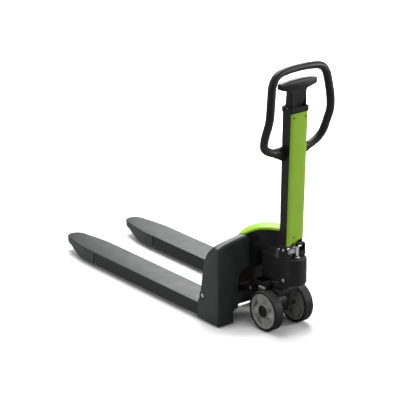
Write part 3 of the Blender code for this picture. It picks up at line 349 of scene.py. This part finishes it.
def smooth_by_angle():
    """A node group that welds a carried mesh and shades it smooth across shallow edges."""
    group = bpy.data.node_groups.new("soft_edges", "GeometryNodeTree")
    group.interface.new_socket("Geometry", in_out="INPUT", socket_type="NodeSocketGeometry")
    group.interface.new_socket("Geometry", in_out="OUTPUT", socket_type="NodeSocketGeometry")
    start, end = group.nodes.new("NodeGroupInput"), group.nodes.new("NodeGroupOutput")
    weld = group.nodes.new("GeometryNodeMergeByDistance")
    weld.inputs["Distance"].default_value = 1e-6
    faces = group.nodes.new("GeometryNodeSetShadeSmooth")
    faces.domain = "FACE"
    edges = group.nodes.new("GeometryNodeSetShadeSmooth")
    edges.domain = "EDGE"
    angle = group.nodes.new("GeometryNodeInputMeshEdgeAngle")
    flat = group.nodes.new("FunctionNodeCompare")
    flat.data_type, flat.operation = "FLOAT", "LESS_THAN"
    flat.inputs[1].default_value = math.radians(34)
    group.links.new(start.outputs[0], weld.inputs["Geometry"])
    group.links.new(weld.outputs["Geometry"], faces.inputs["Geometry"])
    group.links.new(faces.outputs[0], edges.inputs["Geometry"])
    group.links.new(angle.outputs["Unsigned Angle"], flat.inputs[0])
    group.links.new(flat.outputs["Result"], edges.inputs["Shade Smooth"])
    group.links.new(edges.outputs[0], end.inputs[0])
    return group


SOFT = smooth_by_angle()
FINISHES = {
    GREY: ("backrest_housing", "fork_nose_left", "fork_nose_right"),
    FORK_GREY: ("fork_left", "fork_right"),
    DARK: ("battery_tray", "shaft_bearing_left", "shaft_bearing_right", "head_plate", "rocker_arm_left",
           "rocker_arm_right", "rod_lever_left", "rod_lever_right", "roller_arm_left", "roller_arm_right",
           "rocker_shaft"),
    CAST: ("lift_yoke", "pump_housing", "wheel_bracket", "tiller_bracket", "traction_motor", "plunger_cam"),
    CHANNEL: ("tiller_channel",),
    PLASTIC: ("battery_pack", "contactor", "hood_base", "loop_bracket", "tiller_collar", "control_lever",
              "wheel_cap_left", "wheel_cap_right"),
    GRIP: ("handle_loop",),
    GREEN: ("battery_lid", "tiller_cover"),
    STEEL: ("motor_controller", "arm_axle_left", "arm_axle_right", "lid_hinge_pin", "push_rod_left",
            "push_rod_right", "roller_pin_left", "roller_pin_right", "tiller_pin", "release_rod", "lever_pin"),
    GREASY: ("thrust_washer", "wheel_axle", "motor_rotor", "wheel_ring_gear"),
    CHROME: ("lift_ram", "pump_plunger"),
    BRONZE: ("steering_bush",),
    HUB: ("hub_left", "hub_right"),
    TYRE: ("tyre_left", "tyre_right"),
    ROLLER: ("load_roller_left", "load_roller_right"),
}


def finish_nodes():
    for material, names in FINISHES.items():
        for name in names:
            obj = NODES[name]
            obj.data.materials.clear()
            obj.data.materials.append(material)
            if "custom_normal" in obj.data.attributes:
                obj.data.attributes.remove(obj.data.attributes["custom_normal"])
            soft = obj.modifiers.new("soft", "NODES")
            soft.node_group = SOFT


finish_nodes()


# ---- backrest housing ---------------------------------------------------------------------------

SIDE_PROFILE = [(0.000, 0.006), (0.000, 0.376), (0.003, 0.388), (0.011, 0.396), (0.029, 0.399),
                (0.050, 0.390), (0.068, 0.373), (0.084, 0.355), (0.097, 0.333), (0.106, 0.306),
                (0.120, 0.247), (0.130, 0.184), (0.137, 0.146), (0.146, 0.115), (0.160, 0.088),
                (0.160, 0.010)]
TOP_RISE = [(0.0, 0.038), (0.06, 0.036), (0.13, 0.029), (0.19, 0.020), (0.226, 0.013), (0.2625, 0.0)]


def fine_profile():
    """The side profile with its curved stretch smoothed and its long straights divided."""
    curved = through(SIDE_PROFILE[1:15], 4)
    return [Vector(SIDE_PROFILE[0])] + [Vector((0.0, z)) for z in (0.10, 0.20, 0.30)] + curved + [
        Vector((0.160, 0.060)), Vector(SIDE_PROFILE[-1])]


def rise_at(x):
    smooth = through(TOP_RISE, 6)
    return reading([(p.x, p.y) for p in smooth], abs(x))


def housing_row(x, inset):
    """The side profile at one X, raised towards the middle and moved in by inset."""
    rise = rise_at(x)
    points = [Vector((p.x, p.y + rise * max(0.0, (p.y - 0.15) / 0.249))) for p in fine_profile()]
    row = []
    for k, p in enumerate(points):
        before = points[k - 1] if k else p - Vector((0, 0.01))
        after = points[k + 1] if k + 1 < len(points) else p - Vector((0, 0.01))
        along = (after - before).normalized()
        normal = Vector((along.y, -along.x))
        moved = p + normal * inset
        row.append((x, moved.x, p.y if k in (0, len(points) - 1) else moved.y))
    return row


def housing():
    """The pressed shell: a soft rolled top, side edges with a small radius, and returned lips."""
    radius = 0.0055
    xs = [(0.2535 * k / 20, 0.0) for k in range(21)]
    xs += [(HALF - radius + radius * math.sin(math.radians(a)), radius * (1 - math.cos(math.radians(a))))
           for a in (18, 36, 54, 72, 90)]
    right = [housing_row(x, inset) for x, inset in xs]
    left = [[(-x, y, z) for x, y, z in row] for row in reversed(right[1:])]
    bm = bmesh.new()
    rows = [[bm.verts.new(p) for p in row] for row in left + right]
    skin(bm, rows, caps=True, around=False)
    shell = closed_mesh(bm)
    obj = piece("housing_shell", shell, GREY, "chassis", "backrest_housing", slot="grey_paint", angle=50)
    thick = obj.modifiers.new("wall", "SOLIDIFY")
    thick.thickness = WALL
    thick.offset = -1.0
    applied(obj)
    arch = [(0.168, -0.02), (0.168, 0.064), (0.164, 0.068), (0.140, 0.076), (0.138, 0.080)]
    arch += arc((0.076, 0.211), 0.062, 0, 90, 16)
    arch = arch + [(-x, z) for x, z in reversed(arch)]
    cutters = [slab(arch, -0.02, 0.03), box((-0.044, 0.010, 0.36), (0.044, 0.098, 0.50))]
    for edge in (-1, 1):
        x = edge * FORK_X
        cutters.append(box((x - 0.0685, 0.14, -0.02), (x + 0.0685, 0.20, FORK_TOP - PLATE)))
        cutters.append(turned([(0.0, -0.03), (SHAFT_HOLE_R, -0.03), (SHAFT_HOLE_R, 0.03), (0.0, 0.03)],
                              (edge * HALF, SHAFT_Y, SHAFT_Z), "x", 48))
    cut(obj, *cutters)
    obj.data.shade_smooth()
    obj.data.set_sharp_from_angle(angle=math.radians(40))
    for edge, side in ((-1, "left"), (1, "right")):
        near, far = sorted((edge * 0.0720, edge * 0.0780))
        piece("hinge_lug_" + side, box((near, 0.082, 0.3685), (far, 0.1035, 0.3805), 0.0012), GREY, "chassis")
        lip = [(0.0168, -0.0030), (0.0196, 0.0002), (0.0190, 0.0008), (0.0164, -0.0022), (0.0168, -0.0030)]
        lip = turned(lip, (edge * (HALF + 0.0001), SHAFT_Y, SHAFT_Z), (edge, 0, 0), 48)
        piece("hole_lip_" + side, lip, GREY, "chassis")


# ---- forks --------------------------------------------------------------------------------------

def fork_half_width(y):
    if y <= TAPER_START:
        return FORK_HALF
    if y <= NOSE_START:
        return mix(FORK_HALF, NOSE_HALF, ((y - TAPER_START) / (NOSE_START - TAPER_START)) ** 1.6)
    return NOSE_HALF * math.sqrt(max(0.0, 1 - ((y - NOSE_START) / (FORK_TIP - NOSE_START)) ** 2.3))


def fork_outline(inset):
    """The top plate's outline, moved in by inset."""
    ys = [FORK_START] + [TAPER_START + (NOSE_START - TAPER_START) * k / 12 for k in range(13)]
    ys += [NOSE_START + (FORK_TIP - NOSE_START) * math.sin(math.radians(a)) for a in range(8, 88, 7)]
    right = []
    for y in ys:
        back = inset * max(0.0, (y - TAPER_START) / (FORK_TIP - TAPER_START))
        right.append((max(0.003, fork_half_width(y) - inset), y - back))
    return right + [(0.0, FORK_TIP - inset)] + [(-x, y) for x, y in reversed(right)]


def fork(side, sign):
    """A fork's round-edged top plate with its two side walls, and the ends of its pins."""
    x = sign * FORK_X
    radius = 0.0034
    rows = [[(x + a, b, FORK_TOP - PLATE) for a, b in fork_outline(0.0004)]]
    rows.append([(x + a, b, FORK_TOP - PLATE + 0.0004) for a, b in fork_outline(0.0)])
    for angle in range(0, 91, 15):
        t = math.radians(angle)
        inset, up = radius * (1 - math.cos(t)), radius * math.sin(t)
        rows.append([(x + a, b, FORK_TOP - radius + up) for a, b in fork_outline(inset)])
    shapes = [loft(rows)]
    for edge in (-1, 1):
        outer = x + edge * 0.0740
        inner = outer - edge * PLATE
        wall_low = (min(outer, inner), FORK_START, 0.020)
        wall_high = (max(outer, inner), SLOT_Y - SLOT_WIDTH / 2, 0.0812)
        shapes.append(box(wall_low, wall_high))
        weld_low = [(x + edge * 0.0741, y, 0.0812) for y in (FORK_START, 1.0)]
        shapes.append(loft([[(a, b, c), (a, b, c - 0.0022), (a - edge * 0.0002, b, c - 0.0034),
                             (a - edge * 0.002, b, c)] for a, b, c in weld_low]))
    piece("fork_" + side + "_shell", merged(*shapes), FORK_GREY, "chassis", "fork_" + side, slot="grey_paint",
          angle=40)
    for edge, name in ((-1, "in" if sign > 0 else "out"), (1, "out" if sign > 0 else "in")):
        pin = turned([(0.0, 0.0), (0.0034, 0.0), (0.0034, 0.0009), (0.0028, 0.0013), (0.0, 0.0014)],
                     (x + edge * 0.0735, SLOT_Y - SLOT_WIDTH / 2 - 0.006, 0.026), (edge, 0, 0), 20)
        piece(f"slot_pin_{side}_{name}", pin, STEEL, "chassis")
        axle_end = turned([(0.0, 0.0), (0.0075, 0.0), (0.0075, 0.0006), (0.0066, 0.0010), (0.0, 0.0011)],
                          (x + edge * 0.0737, ARM_Y, ARM_Z), (edge, 0, 0), 28)
        piece(f"axle_end_{side}_{name}", axle_end, FORK_GREY, "chassis")


# ---- handle, wheels, cover ----------------------------------------------------------------------

LOOP = [(0.094, -0.2135, 0.894), (0.104, -0.2140, 0.898), (0.128, -0.2145, 0.908), (0.150, -0.2165, 0.920),
        (0.167, -0.2205, 0.936), (0.177, -0.2280, 0.956), (0.1815, -0.2390, 0.985), (0.183, -0.2520, 1.020),
        (0.1835, -0.2680, 1.060), (0.182, -0.2760, 1.100), (0.178, -0.2760, 1.150), (0.172, -0.2730, 1.195),
        (0.1665, -0.2700, 1.230), (0.158, -0.2690, 1.256), (0.142, -0.2685, 1.279), (0.118, -0.2680, 1.293),
        (0.080, -0.2680, 1.3000), (0.038, -0.2680, 1.3032), (0.0, -0.2680, 1.304)]
LOOP_R = [(0.0, 0.0190), (0.15, 0.0196), (0.30, 0.0196), (0.55, 0.0204), (0.72, 0.0200), (0.85, 0.0182),
          (1.0, 0.0172)]


def loop_tube():
    """The handle loop, from the right half's line and the thickness read along it."""
    half = through(LOOP, 5)
    line = half + [Vector((-p.x, p.y, p.z)) for p in reversed(half[:-1])]
    rows = []
    sides = 28
    for k, p in enumerate(line):
        ahead, behind = line[min(k + 1, len(line) - 1)], line[max(k - 1, 0)]
        along = (ahead - behind).normalized()
        flat = Vector((0, 1, 0))
        across = along.cross(flat).normalized()
        flat = across.cross(along).normalized()
        share = min(k, len(line) - 1 - k) / (len(line) // 2)
        r = reading(LOOP_R, share)
        rows.append([tuple(p + across * r * math.cos(2 * math.pi * j / sides)
                           + flat * r * 0.97 * math.sin(2 * math.pi * j / sides)) for j in range(sides)])
    piece("loop_grip", loft(rows), GRIP, "tiller", "handle_loop", slot="black_plastic", angle=60)


def tyre(side, sign):
    centre = (sign * WHEEL_X, AXIS_Y, AXLE_Z)
    half = WHEEL_WIDTH / 2
    shoulder = 0.0075
    outline = [(0.0852, half - 0.0040), (0.0866, half - 0.0022), (0.0880, half - 0.0012)]
    outline += [(WHEEL_R - shoulder + a, half - shoulder + b) for a, b in arc((0, 0), shoulder, 90, 0, 8)]
    outline += [(r, -h) for r, h in reversed(outline)]
    outline.append(outline[0])
    piece("tyre_tread_" + side, turned(outline, centre, "x", 128), TYRE, "wheel_" + side, "tyre_" + side,
          slot="tyre", angle=50)
    cap = [(0.0, half + 0.0022), (0.0120, half + 0.0021), (0.0135, half + 0.0012), (0.0155, half + 0.0012),
           (0.0165, half + 0.0020), (0.0265, half + 0.0014), (0.0288, half + 0.0002), (0.0298, half - 0.0020),
           (0.0298, half - 0.0037), (0.0, half - 0.0037)]
    piece("centre_cap_" + side, turned(cap, centre, (sign, 0, 0), 64), PLASTIC, "wheel_" + side,
          "wheel_cap_" + side, slot="black_plastic", angle=40)


def tiller_screws():
    rear = -0.2550 - 0.0036
    dome_screw("cover_screw_top_left", (-0.034, rear + 0.0004, 1.068), (0, -1, 0), "tiller", lean=True)
    dome_screw("cover_screw_top_right", (0.034, rear + 0.0004, 1.068), (0, -1, 0), "tiller", lean=True)
    dome_screw("cover_screw_foot", (-0.010, -0.2450 - 0.0044, 0.475), (0, -1, 0), "tiller", lean=True)


def pump_details():
    for edge, side in ((-1, "left"), (1, "right")):
        for row, y in enumerate((-0.090, -0.180)):
            hex_bolt(f"pump_bolt_{side}_{row}", (edge * 0.0548, y, 0.2900), (edge, 0, 0), "turret")
        out = (edge, 0, 0)
        dome_screw(f"pin_clip_{side}", (edge * 0.0655, TILLER_Y, TILLER_Z), out, "turret", 0.0060, STEEL)
        dome_screw(f"ear_screw_{side}", (edge * 0.0635, -0.2085, 0.418), out, "turret", 0.0050, STEEL)
    hex_bolt("oil_plug", (-0.0648, -0.243, 0.272), (-1, 0, 0), "turret", STEEL)
    seat = [(0.0100, 0.0), (0.0160, 0.0), (0.0160, 0.0020), (0.0145, 0.0034), (0.0108, 0.0034),
            (0.0100, 0.0022), (0.0100, 0.0)]
    piece("plunger_seat", turned(seat, (0, -0.262, 0.3778), "z", 40), CHROME, "turret")


def pin_ends():
    """Bright ends on the pins between yoke and rocker arms, and on the rocker shaft."""
    for edge, side in ((-1, "left"), (1, "right")):
        end = turned([(0.0, 0.0), (0.0092, 0.0), (0.0092, 0.0010), (0.0076, 0.0024), (0.0, 0.0030)],
                     (edge * 0.0989, YOKE_PIN_Y, YOKE_PIN_Z), (edge, 0, 0), 32)
        piece("yoke_pin_end_" + side, end, STEEL, "carriage")
        end = turned([(0.0, 0.0), (0.0118, 0.0), (0.0118, 0.0007), (0.0106, 0.0012), (0.0, 0.0012)],
                     (edge * (HALF - 0.0014), SHAFT_Y, SHAFT_Z), (edge, 0, 0), 40)
        piece("shaft_end_" + side, end, STEEL, "rocker")


def hub(side, sign):
    """A moulded hub with five V-bottomed pockets, in both faces on the right and the outer one on the left."""
    half = WHEEL_WIDTH / 2
    centre = (sign * WHEEL_X, AXIS_Y, AXLE_Z)
    back, front = -0.0125, half - 0.0065
    outline = [(0.0104, -0.0120), (0.0240, -0.0120), (0.0260, back)]
    if sign < 0:
        outline += [(0.0560, back), (0.0560, -0.0153), (0.0630, -0.0153), (0.0630, back)]
    outline += [(0.0765, back), (0.0785, -half + 0.003), (0.0850, -half + 0.003), (0.0850, half - 0.003),
                (0.0792, half - 0.0020), (0.0775, front), (0.0325, front), (0.0310, half - 0.004),
                (0.0104, half - 0.004), (0.0104, -0.0120)]
    obj = piece("hub_body_" + side, turned(outline, centre, (sign, 0, 0), 120), HUB, "wheel_" + side,
                "hub_" + side, slot="hub_grey", angle=30)
    pockets = []
    faces = ((front, 0.0165, 1),) if sign < 0 else ((front, 0.0165, 1), (back, 0.0130, -1))
    for face, deep, out in faces:
        for k in range(5):
            middle = 90 + 72 * k
            rows = []
            for radius in (0.0370, 0.0480, 0.0620, 0.0742):
                row = []
                for step in range(-6, 7):
                    turn = math.radians(middle + 30 * step / 6)
                    down = face - out * deep * (1 - abs(step) / 6)
                    row.append((sign * (WHEEL_X + down), AXIS_Y + radius * math.cos(turn),
                                AXLE_Z + radius * math.sin(turn)))
                for step in range(6, -7, -1):
                    turn = math.radians(middle + 30 * step / 6)
                    row.append((sign * (WHEEL_X + face + out * 0.01), AXIS_Y + radius * math.cos(turn),
                                AXLE_Z + radius * math.sin(turn)))
                rows.append(row)
            pockets.append(loft(rows))
    cut(obj, *pockets)
    obj.data.shade_smooth()
    obj.data.set_sharp_from_angle(angle=math.radians(20))


for side_name, side_sign in (("left", -1), ("right", 1)):
    fork(side_name, side_sign)
    tyre(side_name, side_sign)
    hub(side_name, side_sign)
housing()
loop_tube()
tiller_screws()
pump_details()
pin_ends()


# ---- stage, light and camera --------------------------------------------------------------------

def stage():
    """A white floor that brightens with distance for the camera only, a pale world and four lamps."""
    scene = bpy.context.scene
    bm = bmesh.new()
    bmesh.ops.create_grid(bm, x_segments=1, y_segments=1, size=30)
    mesh = bpy.data.meshes.new("floor")
    bm.to_mesh(mesh)
    bm.free()
    floor = bpy.data.objects.new("floor", mesh)
    floor.location.z = -0.0004
    scene.collection.objects.link(floor)
    made = bpy.data.materials.new("floor_white")
    made.use_nodes = True
    shader = made.node_tree.nodes["Principled BSDF"]
    tree = made.node_tree
    seen = node(tree, "ShaderNodeLightPath").outputs["Is Camera Ray"]
    link(tree, blend_colour(tree, seen, (0.30, 0.30, 0.30), (0.95, 0.95, 0.95)), shader.inputs["Base Color"])
    away = node(tree, "ShaderNodeVectorMath", operation="LENGTH")
    link(tree, node(tree, "ShaderNodeTexCoord").outputs["Object"], away.inputs[0])
    glow = node(tree, "ShaderNodeMath", operation="MULTIPLY")
    link(tree, spread(tree, away.outputs["Value"], 1.0, 3.0, 0.0, 1.0), glow.inputs[0])
    link(tree, seen, glow.inputs[1])
    shader.inputs["Emission Color"].default_value = (1, 1, 1, 1)
    link(tree, glow.outputs[0], shader.inputs["Emission Strength"])
    shader.inputs["Roughness"].default_value = 0.9
    shader.inputs["Specular IOR Level"].default_value = 0.1
    mesh.materials.append(made)

    world = bpy.data.worlds.new("studio")
    world.use_nodes = True
    world.node_tree.nodes["Background"].inputs["Color"].default_value = (1, 1, 1, 1)
    world.node_tree.nodes["Background"].inputs["Strength"].default_value = 0.30
    scene.world = world

    def lamp(name, at, aim, size, power, size_y=None):
        data = bpy.data.lights.new(name, "AREA")
        data.shape = "RECTANGLE"
        data.size = size
        data.size_y = size_y or size
        data.energy = power
        obj = bpy.data.objects.new(name, data)
        obj.location = at
        obj.rotation_mode = "QUATERNION"
        obj.rotation_quaternion = (Vector(aim) - Vector(at)).to_track_quat("-Z", "Y")
        scene.collection.objects.link(obj)

    lamp("overhead", (0.6, 0.8, 4.2), (0, 0, 0), 3.0, 290, size_y=4.0)
    lamp("back_right", (3.0, 3.2, 2.6), (0, 0, 0.4), 1.6, 80)
    lamp("rear_right", (3.2, -3.6, 2.0), (0, -0.7, 0.8), 1.2, 115)
    lamp("left_fill", (-4.2, 1.6, 2.6), (0, 0, 0.3), 1.2, 42)

    scene.view_settings.view_transform = "Standard"
    scene.view_settings.look = "None"
    scene.view_settings.exposure = 0.0


def camera():
    """From behind, to the left and a little above, through a long lens."""
    azimuth, elevation, roll = math.radians(38.2), math.radians(19.69), math.radians(0.17)
    forward = Vector((math.sin(azimuth) * math.cos(elevation), math.cos(azimuth) * math.cos(elevation),
                      -math.sin(elevation)))
    right = Vector((math.cos(azimuth), -math.sin(azimuth), 0))
    up = right.cross(forward)
    turn = Matrix.Rotation(roll, 3, forward)
    data = bpy.data.cameras.new("view")
    data.sensor_width = 36
    data.lens = 198
    data.clip_end = 100
    obj = bpy.data.objects.new("view", data)
    axes = Matrix((turn @ right, turn @ up, -(turn @ forward))).transposed()
    obj.matrix_world = Matrix.Translation((-6.2885, -7.5231 + SHIFT, 4.0978)) @ axes.to_4x4()
    bpy.context.scene.collection.objects.link(obj)
    bpy.context.scene.camera = obj


stage()
camera()
